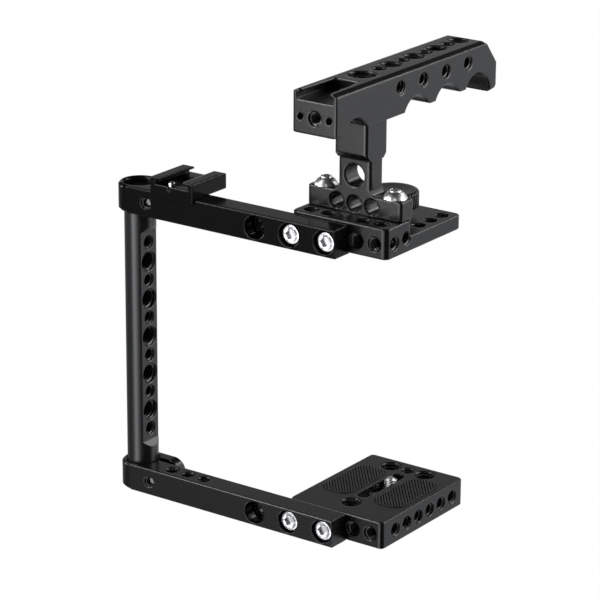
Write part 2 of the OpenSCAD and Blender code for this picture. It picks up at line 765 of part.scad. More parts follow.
module handle_stem() {
    step = (upper_stem_t - foot_t) / 2;
    corner_r = foot_t / 6;
    color(black) translate([plate_middle_x, stem_y, block_top])
        difference() {
            union() {
                // foot and lower stem with round upright corners
                translate([-foot_w / 2, -foot_t / 2, 0])
                    soft_block([foot_w, foot_t, foot_h], corner_r,
                        arm_chamfer);
                translate([-stem_w / 2, -foot_t / 2, 0])
                    soft_block([stem_w, foot_t, stem_step_z + step],
                        corner_r, thread_gap);
                translate([0, foot_t / 2, 0]) rotate([90, 0, 0])
                    linear_extrude(foot_t) stem_fillets();
                // upper stem, with slanted undersides where it grows thicker
                intersection() {
                    translate([-stem_w / 2, -upper_stem_t / 2, stem_step_z])
                        soft_block([stem_w, upper_stem_t,
                            stem_h - stem_step_z], corner_r, thread_gap);
                    translate([-stem_w, 0, 0]) rotate([90, 0, 90])
                        linear_extrude(2 * stem_w)
                            polygon([[-foot_t / 2, stem_step_z],
                                [foot_t / 2, stem_step_z],
                                [upper_stem_t / 2, stem_step_z + step],
                                [upper_stem_t / 2, stem_h],
                                [-upper_stem_t / 2, stem_h],
                                [-upper_stem_t / 2, stem_step_z + step]]);
                }
            }
            tapped([0, -foot_t / 2, stem_hole_z], "+y", stem_hole_d,
                foot_t + overcut);
            for (i = [-1:1])
                tapped([i * grid_pitch, -foot_t / 2, foot_hole_z], "+y",
                    foot_hole_d, foot_t + overcut);
            for (side = [-1, 1])
                drill([side * foot_screw_x, 0, foot_h], "-z",
                    clamp_screw_d + 2 * clearance_gap, foot_h + overcut);
            drill([0, 0, stem_h], "-z", handle_bolt_d, stem_h * 0.36);
            for (side = [-1, 1])
                drill([side * dowel_x, side * dowel_y, stem_h], "-z",
                    dowel_d, dowel_reach);
        }
}

// Domed screws that hold the foot on the top plate
module stem_screws() {
    foot_screw_l = foot_h + block_h * foot_screw_hole_share * 0.9;
    ball_r = (dome_d * dome_d / 4 + dome_h * dome_h) / (2 * dome_h);
    color(steel) for (side = [-1, 1])
        translate([plate_middle_x + side * foot_screw_x, stem_y,
            block_top + foot_h])
            difference() {
                union() {
                    intersection() {
                        translate([0, 0, dome_h - ball_r]) sphere(r = ball_r);
                        cylinder(d = dome_d, h = dome_h);
                    }
                    translate([0, 0, -foot_screw_l])
                        cylinder(d = clamp_shank_d,
                            h = foot_screw_l + dome_h / 4);
                }
                translate([0, 0, dome_h * 0.35])
                    cylinder(d = clamp_screw_d * 0.8 / cos(30),
                        h = dome_h, $fn = 6);
            }
}

// Section of the handle, bevelled along its top and its lowest edges
module handle_section() {
    half = handle_w / 2;
    low = -lip_drop;
    polygon([[-half, low + bevel_h], [-half + bevel_h, low],
        [half - bevel_h, low], [half, low + bevel_h],
        [half, handle_h - bevel_h], [half - bevel_w, handle_h],
        [-half + bevel_w, handle_h], [-half, handle_h - bevel_h]]);
}

// Cut that rounds the ridge on one side of a groove: the ridge's circle
// touches the groove's circle from outside and the underside from above
module ridge_round(side, low) {
    reach = groove_r + ridge_r;
    rise = low + ridge_r - groove_z;
    dy = sqrt(reach * reach - rise * rise);
    share = groove_r / reach;
    difference() {
        polygon([[side * dy * share, groove_z + rise * share],
            [side * dy * share, low - overcut], [side * dy, low - overcut],
            [side * dy, low + ridge_r]]);
        translate([side * dy, low + ridge_r]) circle(r = ridge_r);
    }
}

// Side outline of the handle, y from the stem's middle, z as in the frame
module handle_side_shape() {
    last = back_groove + 2 * groove_pitch;
    difference() {
        polygon([[-handle_front, stem_top - nose_drop],
            [-front_groove, stem_top - nose_drop],
            [-front_groove, stem_top], [last, stem_top],
            [last, stem_top - lip_drop],
            [handle_back - bevel_w, stem_top - lip_drop],
            [handle_back, stem_top - lip_drop + bevel_w],
            [handle_back, handle_top - tail_cut_h],
            [handle_back - tail_cut_l, handle_top],
            [-handle_front, handle_top]]);
        translate([-front_groove, 0]) {
            translate([0, groove_z]) circle(r = groove_r);
            ridge_round(-1, stem_top - nose_drop);
            ridge_round(1, stem_top);
        }
        for (i = [0:2]) translate([back_groove + i * groove_pitch, 0]) {
            translate([0, groove_z]) circle(r = groove_r);
            ridge_round(-1, stem_top);
            if (i < 2) ridge_round(1, stem_top);
        }
    }
}

// Flat outline of the shoe slot's mouth, y from the handle's front face. It
// tapers backwards, its lips' front ends and its back corners are round
module nose_mouth_shape() {
    front = nose_mouth_front_w / 2;
    back = nose_mouth_back_w / 2;
    difference() {
        polygon([[-front, -overcut], [front, -overcut], [back, nose_slot_l],
            [-back, nose_slot_l]]);
        for (side = [-1, 1]) translate([side * back, nose_slot_l])
            corner_round(side, 1, nose_mouth_back_r);
    }
    for (side = [-1, 1]) translate([side * front, 0])
        corner_round(-side, -1, nose_lip_r);
}

module handle_grip() {
    mid = [plate_middle_x, stem_y];
    slot_z = handle_top - nose_slot_depth;
    low_w = handle_w - 2 * nose_wall_t;
    color(black) difference() {
        translate([mid[0], mid[1], 0]) intersection() {
            translate([-handle_w / 2, 0, 0]) rotate([90, 0, 90])
                linear_extrude(handle_w) handle_side_shape();
            translate([0, handle_back + overcut, stem_top])
                rotate([90, 0, 0])
                    linear_extrude(handle_front + handle_back + 2 * overcut)
                        handle_section();
        }
        // softened side edges of the grooves
        for (y = [-front_groove, for (i = [0:2]) back_groove
                + i * groove_pitch], side = [-1, 1])
            translate([mid[0] + side * handle_w / 2, mid[1] + y, groove_z])
                rotate(turn(side > 0 ? "-x" : "+x"))
                    cylinder(r1 = groove_r + groove_flare, r2 = groove_r,
                        h = groove_flare);
        // shoe slot in the nose: wide below, a tapering mouth above
        translate([mid[0] - low_w / 2, handle_front_y - overcut, slot_z])
            cube([low_w, nose_slot_l + overcut, nose_slot_low]);
        translate([mid[0], handle_front_y, slot_z])
            linear_extrude(nose_slot_depth + overcut) nose_mouth_shape();
        // rounded upright and lower edges of the nose
        for (side = [-1, 1])
            translate([mid[0] + side * handle_w / 2, 0, 0]) {
                translate([0, handle_front_y, stem_top - lip_drop])
                    linear_extrude(handle_h + lip_drop + overcut)
                        corner_round(side, -1, nose_edge_r);
                translate([0, mid[1] - front_groove,
                    stem_top - nose_drop])
                    rotate([90, 0, 0])
                        linear_extrude(handle_front)
                            corner_round(side, -1, nose_low_r);
            }
        // bolt through the handle into the stem, its head sunk
        drill([mid[0], mid[1], handle_top], "-z",
            handle_bolt_d + 2 * clearance_gap, handle_h + overcut);
        drill([mid[0], mid[1], handle_top], "-z",
            handle_bolt_head_d + 2 * clearance_gap,
            handle_bolt_head_h + head_recess);
        for (side = [-1, 1])
            drill([mid[0] + side * dowel_x, mid[1] + side * dowel_y,
                stem_top], "+z", dowel_d, dowel_reach);
        // holes along the top, small and large in turn
        for (i = [0:7])
            tapped([mid[0], mid[1] + top_hole_first + i * top_hole_pitch,
                handle_top], "-z",
                i % 2 == 0 ? small_thread_d : large_thread_d,
                handle_h * 0.35);
        // tapped holes in the right side
        for (i = [0:3])
            tapped([mid[0] + handle_w / 2,
                mid[1] + grip_side_first + i * grip_side_pitch,
                stem_top + grip_side_z], "-x", small_thread_d,
                handle_w * 0.22);
        // tapped hole and two locating holes in the nose
        tapped([mid[0], handle_front_y, stem_top + nose_hole_z], "+y",
            small_thread_d, handle_front * 0.22);
        for (side = [-1, 1])
            drill([mid[0] + side * nose_pin_x, handle_front_y,
                stem_top + nose_hole_z], "+y", small_thread_d / 2,
                handle_front * 0.16);
    }
}

module handle_bolt() {
    color(steel) translate([plate_middle_x, stem_y,
        handle_top - head_recess - handle_bolt_head_h])
        rotate(turn("-z"))
            cap_screw(handle_shank_d,
                handle_h - head_recess - handle_bolt_head_h + stem_h * 0.32,
                handle_bolt_head_d, handle_bolt_head_h, handle_bolt_d * 0.75);
}

module handle_dowels() {
    color(steel) for (side = [-1, 1])
        translate([plate_middle_x + side * dowel_x,
            stem_y + side * dowel_y, stem_top - dowel_reach])
            cylinder(d = dowel_d - 2 * thread_gap, h = 2 * dowel_reach);
}

// Front outline of the accessory shoe: floor, walls and inward lips
module shoe_shape() {
    slot = shoe_w * 0.77;
    half = shoe_w / 2;
    c = arm_chamfer;
    lip_z = shoe_floor + shoe_channel_h;
    polygon([[-half, 0], [half, 0], [half, shoe_h - c], [half - c, shoe_h],
        [shoe_mouth_w / 2, shoe_h], [shoe_mouth_w / 2, lip_z],
        [slot / 2, lip_z], [slot / 2, shoe_floor],
        [-slot / 2, shoe_floor], [-slot / 2, lip_z],
        [-shoe_mouth_w / 2, lip_z], [-shoe_mouth_w / 2, shoe_h],
        [c - half, shoe_h], [-half, shoe_h - c]]);
}

module accessory_shoe() {
    front = arm_front_y - skirt_t;
    color(black) difference() {
        union() {
            translate([shoe_x, front + shoe_l, upper_arm_top])
                rotate([90, 0, 0]) linear_extrude(shoe_l) shoe_shape();
            translate([shoe_x - shoe_w / 2, front,
                upper_arm_top - skirt_drop])
                cube([shoe_w, skirt_t, skirt_drop + shoe_floor / 2]);
        }
        // rounded back ends of the rails
        for (side = [-1, 1])
            translate([shoe_x + side * shoe_w / 2, front + shoe_l,
                upper_arm_top - overcut])
                linear_extrude(shoe_h + 2 * overcut)
                    corner_round(side, 1, shoe_back_r);
        translate([shoe_x - shoe_w / 2 - overcut, front + shoe_l,
            upper_arm_top])
            rotate([90, 0, 90]) linear_extrude(shoe_w + 2 * overcut) {
                translate([0, shoe_h]) corner_round(1, 1, rail_end_r);
                corner_round(1, -1, shoe_low_r);
            }
        drill([shoe_x, shoe_screw_y, upper_arm_top + shoe_floor], "-z",
            clamp_screw_d + 2 * clearance_gap, shoe_floor + overcut);
        drill([shoe_x, shoe_screw_y, upper_arm_top + shoe_floor], "-z",
            shoe_head_d + 2 * clearance_gap, shoe_floor * 0.6);
        drill([stop_pin_x, stop_pin_y, upper_arm_top + shoe_floor], "-z",
            stop_pin_d, shoe_floor * 0.5);
    }
}

module shoe_screw() {
    head_h = shoe_floor * 0.55;
    seat = upper_arm_top + shoe_floor * 0.4;
    color(black) translate([shoe_x, shoe_screw_y, seat]) rotate(turn("-z"))
        cap_screw(clamp_shank_d, shoe_floor * 0.4 + arm_h * 0.5,
            shoe_head_d, head_h, clamp_screw_d * 0.6);
}

module shoe_stop_pin() {
    low = upper_arm_top + shoe_floor * 0.5;
    r = stop_pin_d / 2;
    color(steel) translate([stop_pin_x, stop_pin_y, low])
        rotate_extrude()
            polygon([[0, 0], [r - thread_gap, 0],
                [r - thread_gap, shoe_floor * 0.5 + stop_pin_h - r / 3],
                [r * 0.66, shoe_floor * 0.5 + stop_pin_h],
                [0, shoe_floor * 0.5 + stop_pin_h]]);
}

pillar();
lower_arm();
upper_arm();
lower_clamp_screw();
upper_clamp_screw();
base_plate();
base_plate_bolts();
left_pad();
right_pad();
camera_screw();
camera_screw_washer();
top_plate();
top_plate_bolts();
lock_wheel();
lock_wheel_collar();
shoe_foot();
handle_stem();
stem_screws();
handle_grip();
handle_bolt();
handle_dowels();
accessory_shoe();
shoe_screw();
shoe_stop_pin();
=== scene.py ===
import math

import bmesh
import bpy
import numpy as np
from mathutils import Matrix, Vector


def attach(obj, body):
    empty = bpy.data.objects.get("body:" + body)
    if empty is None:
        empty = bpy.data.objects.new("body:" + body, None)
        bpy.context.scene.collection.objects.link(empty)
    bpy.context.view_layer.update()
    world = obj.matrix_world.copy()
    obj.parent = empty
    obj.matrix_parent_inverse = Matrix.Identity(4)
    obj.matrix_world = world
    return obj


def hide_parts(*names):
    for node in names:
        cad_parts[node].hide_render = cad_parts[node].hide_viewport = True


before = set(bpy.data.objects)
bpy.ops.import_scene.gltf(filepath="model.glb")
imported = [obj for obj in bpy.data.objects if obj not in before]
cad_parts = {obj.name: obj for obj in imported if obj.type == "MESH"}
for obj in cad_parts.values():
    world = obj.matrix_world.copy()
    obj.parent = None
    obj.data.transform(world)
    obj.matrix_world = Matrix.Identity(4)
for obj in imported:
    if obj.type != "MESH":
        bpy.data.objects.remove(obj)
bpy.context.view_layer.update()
mm = 0.001


# Camera: it looks back along a ray given by azimuth and elevation, then rolls about that ray
camera = dict(
    azimuth=35.83, elevation=18.91, roll=0.23,  # degrees
    target=(82.78, 0, 109.73), distance=1340.0,  # mm
    sensor=36.0, lens=177.19, shift=(0.027, 0.001), clip=(0.05, 50),
)


def placeCamera(c):
    az, el, roll = (math.radians(c[k]) for k in ("azimuth", "elevation", "roll"))
    back = Vector((math.sin(az) * math.cos(el), -math.cos(az) * math.cos(el), math.sin(el)))
    right = (-back).cross(Vector((0, 0, 1))).normalized()
    up = right.cross(-back)
    tiltedRight = right * math.cos(roll) + up * math.sin(roll)
    tiltedUp = up * math.cos(roll) - right * math.sin(roll)
    place = (Vector(c["target"]) + back * c["distance"]) * mm
    data = bpy.data.cameras.new("studioCamera")
    data.sensor_width = c["sensor"]
    data.lens = c["lens"]
    data.shift_x, data.shift_y = c["shift"]
    data.clip_start, data.clip_end = c["clip"]
    seer = bpy.data.objects.new("studioCamera", data)
    bpy.context.collection.objects.link(seer)
    turn = Matrix((tiltedRight, tiltedUp, back)).transposed().to_4x4()
    seer.matrix_world = Matrix.Translation(place) @ turn
    bpy.context.scene.camera = seer


placeCamera(camera)
print("camera placed")


# Materials: every finish is a Principled shader with its own grain, bump and softened edges
grain = dict(slowDetail=3.0, fineDetail=4.0, fineRoughness=0.6, depth=0.05, rampLow=0.3, rampHigh=0.7)


def startMaterial(name):
    mat = bpy.data.materials.new(name)
    mat.use_nodes = True
    nodes = mat.node_tree.nodes
    nodes.clear()
    shader = nodes.new("ShaderNodeBsdfPrincipled")
    output = nodes.new("ShaderNodeOutputMaterial")
    mat.node_tree.links.new(shader.outputs["BSDF"], output.inputs["Surface"])
    return mat, nodes, mat.node_tree.links, shader


def addNode(nodes, kind, **settings):
    # a setting is a property of the node where it has one of that name, else an input's value
    node = nodes.new(kind)
    for key, value in settings.items():
        if hasattr(node, key):
            setattr(node, key, value)
        else:
            node.inputs[key.replace("_", " ")].default_value = value
    return node


def metalFinish(name, look):
    # colour and roughness wander with slow noise, a fine noise gives the blasted grain,
    # and the Bevel node rounds the shading of sharp edges
    mat, nodes, links, shader = startMaterial(name)
    place = addNode(nodes, "ShaderNodeTexCoord").outputs["Object"]
    slow = addNode(nodes, "ShaderNodeTexNoise", Scale=look["patch"], Detail=grain["slowDetail"])
    fine = addNode(nodes, "ShaderNodeTexNoise", Scale=look["grain"], Detail=grain["fineDetail"],
                   Roughness=grain["fineRoughness"])
    links.new(place, slow.inputs["Vector"])
    links.new(place, fine.inputs["Vector"])
    colour = addNode(nodes, "ShaderNodeValToRGB")
    stops = ((grain["rampLow"], 1 - look["wander"]), (grain["rampHigh"], 1 + look["wander"]))
    for stop, (position, level) in zip(colour.color_ramp.elements, stops):
        stop.position = position
        stop.color = tuple(v * level for v in look["colour"]) + (1,)
    links.new(slow.outputs["Fac"], colour.inputs["Fac"])
    links.new(colour.outputs["Color"], shader.inputs["Base Color"])
    rough = addNode(nodes, "ShaderNodeMapRange")
    rough.inputs["To Min"].default_value = look["roughness"] - look["roughWander"]
    rough.inputs["To Max"].default_value = look["roughness"] + look["roughWander"]
    links.new(fine.outputs["Fac"], rough.inputs["Value"])
    links.new(rough.outputs["Result"], shader.inputs["Roughness"])
    soft = addNode(nodes, "ShaderNodeBevel", samples=8, Radius=look["edge"] * mm)
    bump = addNode(nodes, "ShaderNodeBump", Strength=look["bump"], Distance=grain["depth"] * mm)
    links.new(fine.outputs["Fac"], bump.inputs["Height"])
    links.new(soft.outputs["Normal"], bump.inputs["Normal"])
    links.new(bump.outputs["Normal"], shader.inputs["Normal"])
    shader.inputs["Metallic"].default_value = look["metallic"]
    shader.inputs["Specular IOR Level"].default_value = look["specular"]
    return mat


# colour, then how far colour and roughness wander, the scales of both noises, and the edge in mm
finishes = dict(
    blackAnodised=dict(colour=(0.003, 0.003, 0.0032), metallic=0.0, specular=0.46, roughness=0.27,
                       roughWander=0.05, wander=0.15, patch=18.0, grain=2600.0, bump=0.06, edge=0.7),
    # the same black anodising, glossier, with its specular level lowered so the upper arm and the shoe
    # read darker: partly a real gloss, partly painted shade
    glossAnodisedPaintedShade=dict(colour=(0.003, 0.003, 0.0032), metallic=0.0, specular=0.16, roughness=0.16,
                      roughWander=0.05, wander=0.15, patch=18.0, grain=2600.0, bump=0.06, edge=1.2),
    satinAnodised=dict(colour=(0.004, 0.004, 0.0042), metallic=0.0, specular=0.56, roughness=0.28,
                       roughWander=0.05, wander=0.12, patch=18.0, grain=2600.0, bump=0.10, edge=1.2),
    turnedAnodised=dict(colour=(0.006, 0.006, 0.0064), metallic=0.0, specular=0.62, roughness=0.3,
                        roughWander=0.04, wander=0.12, patch=18.0, grain=2600.0, bump=0.05, edge=0.6),
    blackSteel=dict(colour=(0.008, 0.008, 0.0084), metallic=0.3, specular=0.5, roughness=0.33,
                    roughWander=0.05, wander=0.10, patch=30.0, grain=2000.0, bump=0.1, edge=0.15),
    cutThread=dict(colour=(0.014, 0.014, 0.0143), metallic=0.0, specular=0.35, roughness=0.25,
                   roughWander=0.04, wander=0.1, patch=18.0, grain=2600.0, bump=0.05, edge=0.1),
    satinSteel=dict(colour=(0.68, 0.68, 0.69), metallic=1.0, specular=0.5, roughness=0.36,
                    roughWander=0.06, wander=0.06, patch=60.0, grain=1500.0, bump=0.08, edge=0.3),
    brightSteel=dict(colour=(0.66, 0.66, 0.67), metallic=1.0, specular=0.5, roughness=0.24,
                     roughWander=0.06, wander=0.06, patch=60.0, grain=1500.0, bump=0.08, edge=0.2),
    padRubber=dict(colour=(0.036, 0.036, 0.037), metallic=0.0, specular=0.35, roughness=0.62,
                   roughWander=0.08, wander=0.15, patch=40.0, grain=3000.0, bump=0.3, edge=0.1),
)
materials = {name: metalFinish(name, look) for name, look in finishes.items()}
print("materials made")


# Mesh helpers: a surface is a grid of points worked out from two parameters
def gridFaces(rows, columns, closed, start=0):
    # quads between neighbouring rows and columns; the columns may close on themselves
    r = np.arange(rows - 1)[:, None]
    last = columns if closed else columns - 1
    c = np.arange(last)[None, :]
    nextC = (c + 1) % columns
    quads = np.stack([r * columns + c, r * columns + nextC,
                      (r + 1) * columns + nextC, (r + 1) * columns + c], axis=-1)
    return quads.reshape(-1, 4) + start


def makePiece(name, points, quads, finish, sharpAngle=35):
    # one mesh from points in mm and quads, doubles merged and faces turned outwards
    mesh = bpy.data.meshes.new(name)
    mesh.vertices.add(len(points))
    mesh.vertices.foreach_set("co", (np.asarray(points) * mm).ravel())
    mesh.loops.add(quads.size)
    mesh.loops.foreach_set("vertex_index", quads.ravel())
    mesh.polygons.add(len(quads))
    mesh.polygons.foreach_set("loop_start", np.arange(0, quads.size, 4))
    mesh.update(calc_edges=True)
    work = bmesh.new()
    work.from_mesh(mesh)
    bmesh.ops.remove_doubles(work, verts=work.verts, dist=1e-6)
    bmesh.ops.dissolve_degenerate(work, edges=work.edges, dist=1e-7)
    bmesh.ops.recalc_face_normals(work, faces=work.faces)
    work.to_mesh(mesh)
    work.free()
    mesh.polygons.foreach_set("use_smooth", np.ones(len(mesh.polygons), dtype=bool))
    mesh.set_sharp_from_angle(angle=math.radians(sharpAngle))
    mesh.materials.append(materials[finish])
    piece = bpy.data.objects.new(name, mesh)
    bpy.context.collection.objects.link(piece)
    return piece


def turnTo(axis):
    # matrix whose third column is the axis; the other two are square to it
    axis = np.array(axis, dtype=float) / np.linalg.norm(axis)
    side = np.cross(axis, [0, 0, 1] if abs(axis[2]) < 0.9 else [1, 0, 0])
    side = side / np.linalg.norm(side)
    return np.stack([np.cross(side, axis), side, axis], axis=1)


def placed(points, at, axis):
    return points @ turnTo(axis).T + np.array(at, dtype=float)


# Threads: a ridge with a four-cornered profile is wound along a helix
thread = dict(steps=30, leastSteps=8, fade=0.35, leastHeight=0.02, depthShare=0.54,
              flankShare=0.36, crestShare=0.12, sink=0.04)


def helixRidge(wallR, crestR, pitch, length, phase):
    # angle runs along the rows, the profile's corners along the columns;
    # the height of the ridge grows from nothing and dies away over a part turn
    turns = length / pitch
    rows = max(int(turns * thread["steps"]), thread["leastSteps"])
    t = np.linspace(0, turns, rows)
    grow = np.clip(np.minimum(t, turns - t) / thread["fade"], thread["leastHeight"], 1)
    outward = np.sign(crestR - wallR)
    rootR = wallR - outward * thread["sink"]
    topR = wallR + (crestR - wallR) * grow
    flank, crest = thread["flankShare"] * pitch, thread["crestShare"] * pitch
    radius = np.stack([np.full(rows, rootR), topR, topR, np.full(rows, rootR)], axis=1)
    along = np.stack([-flank * grow, -crest * grow, crest * grow, flank * grow], axis=1)
    angle = 2 * math.pi * t[:, None] + phase
    height = (t * pitch)[:, None] + along
    points = np.stack([radius * np.cos(angle), radius * np.sin(angle), height], axis=-1)
    ends = np.array([[0, 1, 2, 3], [3, 2, 1, 0]]) + np.array([[0], [(rows - 1) * 4]])
    return points.reshape(-1, 3), np.concatenate([gridFaces(rows, 4, True), ends])


def joinParts(parts):
    # lists of points and quads become one list, later quads counted on
    points, quads, count = [], [], 0
    for p, q in parts:
        points.append(p)
        quads.append(q + count)
        count += len(p)
    return np.concatenate(points), np.concatenate(quads)


smallThread = dict(r=6.35 / 2, pitch=1.27)
largeThread = dict(r=9.525 / 2, pitch=1.5875)
clampThread = dict(r=2.5, pitch=0.8)
mouth = 0.6  # mm from the face to the first thread
phaseStep = 1.3  # each hole's thread starts this much further round, in radians


def holeThreads(name, body, holes):
    # each hole: a point on the face, the way into the metal, the thread and the bore's depth
    parts = []
    for number, (at, inward, kind, depth) in enumerate(holes):
        crestR = kind["r"] - thread["depthShare"] * kind["pitch"]
        length = depth - 2 * mouth
        points, quads = helixRidge(kind["r"], crestR, kind["pitch"], length, number * phaseStep)
        parts.append((placed(points + [0, 0, mouth], at, inward), quads))
    points, quads = joinParts(parts)
    piece = makePiece(name, points, quads, "cutThread", sharpAngle=30)
    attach(piece, body)


# faces of the cage in mm, and where its rows of holes begin and how far their holes are apart
cage = dict(
    flatX=4.7, pillarFirst=29.6, pillarPitch=9.3, armTop=13.2, armFront=-10.05, armBack=1.75,
    upperZ=138.6, plateMiddle=111.4, plateRight=137.4, gridPitch=9.5, armBoltFirst=73.6,
    blockTop=152.9, thinTop=145.5, stemY=18.6, stemTop=196.6, handleTop=215.9, handleHalf=11.7,
    handleFront=-17.4, clampX=11.3, baseSideFirst=12.4, armHoleFirst=21, slotFrontY=14.2, slotBackY=61.6,
    blockHoleY=7.8, thinHoleInset=6.1, thinHoleFirst=36, topHoleFirst=13.7, topHolePitch=9.27,
    sideHolePitch=18.5, sideHoleUp=12.2, noseHoleUp=6.9,
)
# depths of the threaded bores in mm
deep = dict(pillar=9.5, plate=10, armBack=7, slotEnd=5.4, slotBeside=13, clamp=2.6, block=4.3,
            blockSide=4.6, thin=6.9, handleTop=6.7, handleSide=5.1, nose=7.8)
armMiddle = (cage["armFront"] + cage["armBack"]) / 2
sorts = (smallThread, largeThread)
inLeft, inBack, inDown = (-1, 0, 0), (0, 1, 0), (0, 0, -1)
pillarHoles = [((cage["flatX"], 0, cage["pillarFirst"] + i * cage["pillarPitch"]), inLeft,
                sorts[i % 2], deep["pillar"]) for i in range(11)]
holeThreads("pillarThreads", "pillar", pillarHoles)

half = cage["armTop"] / 2
right, middle, pitch = cage["plateRight"], cage["plateMiddle"], cage["gridPitch"]
lowerHoles = [((right, cage["baseSideFirst"] + i * pitch, half), inLeft, smallThread, deep["plate"])
              for i in range(6)]
lowerHoles += [((cage["armHoleFirst"] + i * pitch, armMiddle, cage["armTop"]), inDown,
                smallThread, deep["plate"]) for i in range(3)]
lowerHoles += [((cage["armBoltFirst"] + i * pitch, cage["armBack"], half), inBack,
                smallThread, deep["armBack"]) for i in (5, 6)]
# the camera screw's slot is wide below, so the holes at its ends keep a short thread
lowerHoles += [((middle, cage["slotFrontY"], cage["armTop"]), inDown, largeThread, deep["slotEnd"])]
lowerHoles += [((middle + i * pitch, cage["slotBackY"], cage["armTop"]), inDown, sorts[abs(i)],
                deep["slotBeside" if i else "slotEnd"]) for i in (-1, 0, 1)]
lowerHoles += [((cage["clampX"], cage["armFront"], half), inBack, clampThread, deep["clamp"])]
holeThreads("lowerThreads", "lower", lowerHoles)

level = cage["upperZ"] + half
upperHoles = [((middle + i * pitch, cage["blockHoleY"], cage["blockTop"]), inDown,
               smallThread, deep["block"]) for i in (-2, -1, 1, 2)]
upperHoles += [((right, cage["blockHoleY"] + i * pitch, level), inLeft, smallThread, deep["blockSide"])
               for i in (0, 1)]
upperHoles += [((cage["armBoltFirst"] + i * pitch, cage["armBack"], level), inBack,
                smallThread, deep["armBack"]) for i in (5, 6)]
thinX = right - cage["thinHoleInset"]
upperHoles += [((thinX, cage["thinHoleFirst"] + i * cage["pillarPitch"], cage["thinTop"]), inDown,
                smallThread, deep["thin"]) for i in range(3)]
upperHoles += [((cage["clampX"], cage["armFront"], level), inBack, clampThread, deep["clamp"])]
handleFirst = cage["stemY"] + cage["topHoleFirst"]
upperHoles += [((middle, handleFirst + i * cage["topHolePitch"], cage["handleTop"]), inDown,
                sorts[i % 2], deep["handleTop"]) for i in range(8)]
sideX, sideZ = middle + cage["handleHalf"], cage["stemTop"] + cage["sideHoleUp"]
upperHoles += [((sideX, handleFirst + i * cage["sideHolePitch"], sideZ), inLeft,
                smallThread, deep["handleSide"]) for i in range(4)]
upperHoles += [((middle, cage["handleFront"], cage["stemTop"] + cage["noseHoleUp"]), inBack,
                smallThread, deep["nose"])]
holeThreads("upperThreads", "upper", upperHoles)
print("threads wound")


# Screws: rings of points from the socket's floor over the head to the shank's tip;
# the socket's rings are hexagons, all others are circles
screwShape = dict(
    cone=0.08, mouth=1.16, domeMouth=1.3,  # shares of half the key
    mouthRim=0.3, wallRim=0.5, seatRim=0.25, footRim=0.2,  # shares of the rim
    mouthDish=0.8, thinning=0.5, leadIn=0.3,  # shares of the dish and of the pitch
    domeRings=9, rimRings=4, leastRise=0.02,
)


def ringSurface(rings, around=72):
    # each ring: radius or hexagon's half width across flats, height, share of hexagon
    angle = np.linspace(0, 2 * math.pi, around, endpoint=False)
    hexagon = 1 / np.cos((angle + math.pi / 6) % (math.pi / 3) - math.pi / 6)
    rows = []
    for radius, height, share in rings:
        reach = radius * (1 + share * (hexagon - 1))
        heights = np.full(around, height)
        rows.append(np.stack([reach * np.cos(angle), reach * np.sin(angle), heights], axis=1))
    return np.concatenate(rows), gridFaces(len(rings), around, True)


def screwParts(s):
    # seat at height 0, head above it, shank below; the thread is a helix on a thinner core
    shape = screwShape
    key, top, headR, rim = s["key"] / 2, s["headH"], s["headD"] / 2, s["rim"]
    floor = top - s["socketDepth"]
    rings = [(0, floor - key * shape["cone"], 1), (key, floor, 1),
             (key, top - rim * shape["wallRim"] - s["dish"], 1),
             (key * shape["mouth"] + rim * shape["mouthRim"], top - s["dish"] * shape["mouthDish"], 0)]
    if s["dome"]:
        # a dome follows the circle through the rim and the crown
        ball = (headR ** 2 + top ** 2) / (2 * top)
        inner = math.asin((key * shape["domeMouth"] + rim * shape["mouthRim"]) / ball)
        outer = math.asin(min(headR / ball, 1))
        for a in np.linspace(inner, outer, shape["domeRings"]):
            rise = top - ball + ball * math.cos(a)
            rings.append((ball * math.sin(a), max(rise, shape["leastRise"]), 0))
    else:
        # a flat head's rim is rounded by a quarter circle
        for a in np.linspace(0, math.pi / 2, shape["rimRings"]):
            rings.append((headR - rim + rim * math.sin(a), top - rim + rim * math.cos(a), 0))
        rings.append((headR, shape["seatRim"] * rim, 0))
    shankR, tip, end, threadPitch = s["shankD"] / 2, s["tip"], -s["shankL"], s["pitch"]
    core = shankR - threadPitch * thread["depthShare"]
    plain, lead = s["plainL"], threadPitch * shape["leadIn"]
    rings += [(headR - shape["footRim"] * rim, 0, 0), (shankR, 0, 0), (shankR, -plain, 0),
              (core, -plain - threadPitch * shape["thinning"], 0), (core, end + tip, 0),
              (core - tip, end, 0), (0, end, 0)]
    helix, helixQuads = helixRidge(core, shankR, threadPitch, -end - plain - tip - lead, 0.0)
    helix = helix * [1, 1, -1] - [0, 0, plain + lead]
    return [ringSurface(rings), (helix, helixQuads)]


def makeScrews(name, node, body, finish, places, s):
    # one screw at each place: its seat's middle and the way that its head looks
    parts = []
    for at, way in places:
        parts += [(placed(p, at, way), q) for p, q in screwParts(s)]
    points, quads = joinParts(parts)
    piece = makePiece(name, points, quads, finish)
    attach(piece, body)
    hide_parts(node)


# each screw in mm; key is the socket's width across flats, plainL the shank's unthreaded length
armBolt = dict(headD=9.5, headH=6.3, key=4.75, socketDepth=1.9, rim=0.6, dish=0.0, dome=False,
               shankD=6.25, shankL=10.3, plainL=3.5, pitch=1.27, tip=0.6)
clampScrew = dict(headD=8.5, headH=5.0, key=4.0, socketDepth=1.7, rim=0.5, dish=0.0, dome=False,
                  shankD=4.9, shankL=15.7, plainL=4.5, pitch=0.8, tip=0.5)
handleBolt = dict(headD=12.9, headH=8.0, key=6.0, socketDepth=4.4, rim=0.8, dish=0.0, dome=False,
                  shankD=7.9, shankL=23.75, plainL=9.0, pitch=1.25, tip=0.8)
stemScrew = dict(headD=11.2, headH=3.9, key=4.0, socketDepth=2.5, rim=0.25, dish=0.05, dome=True,
                 shankD=4.9, shankL=15.3, plainL=8.0, pitch=0.8, tip=0.5)
cameraScrew = dict(headD=12.6, headH=4.6, key=5.0, socketDepth=2.5, rim=0.5, dish=0.0, dome=False,
                   shankD=6.25, shankL=8.2, plainL=1.6, pitch=1.27, tip=0.8)
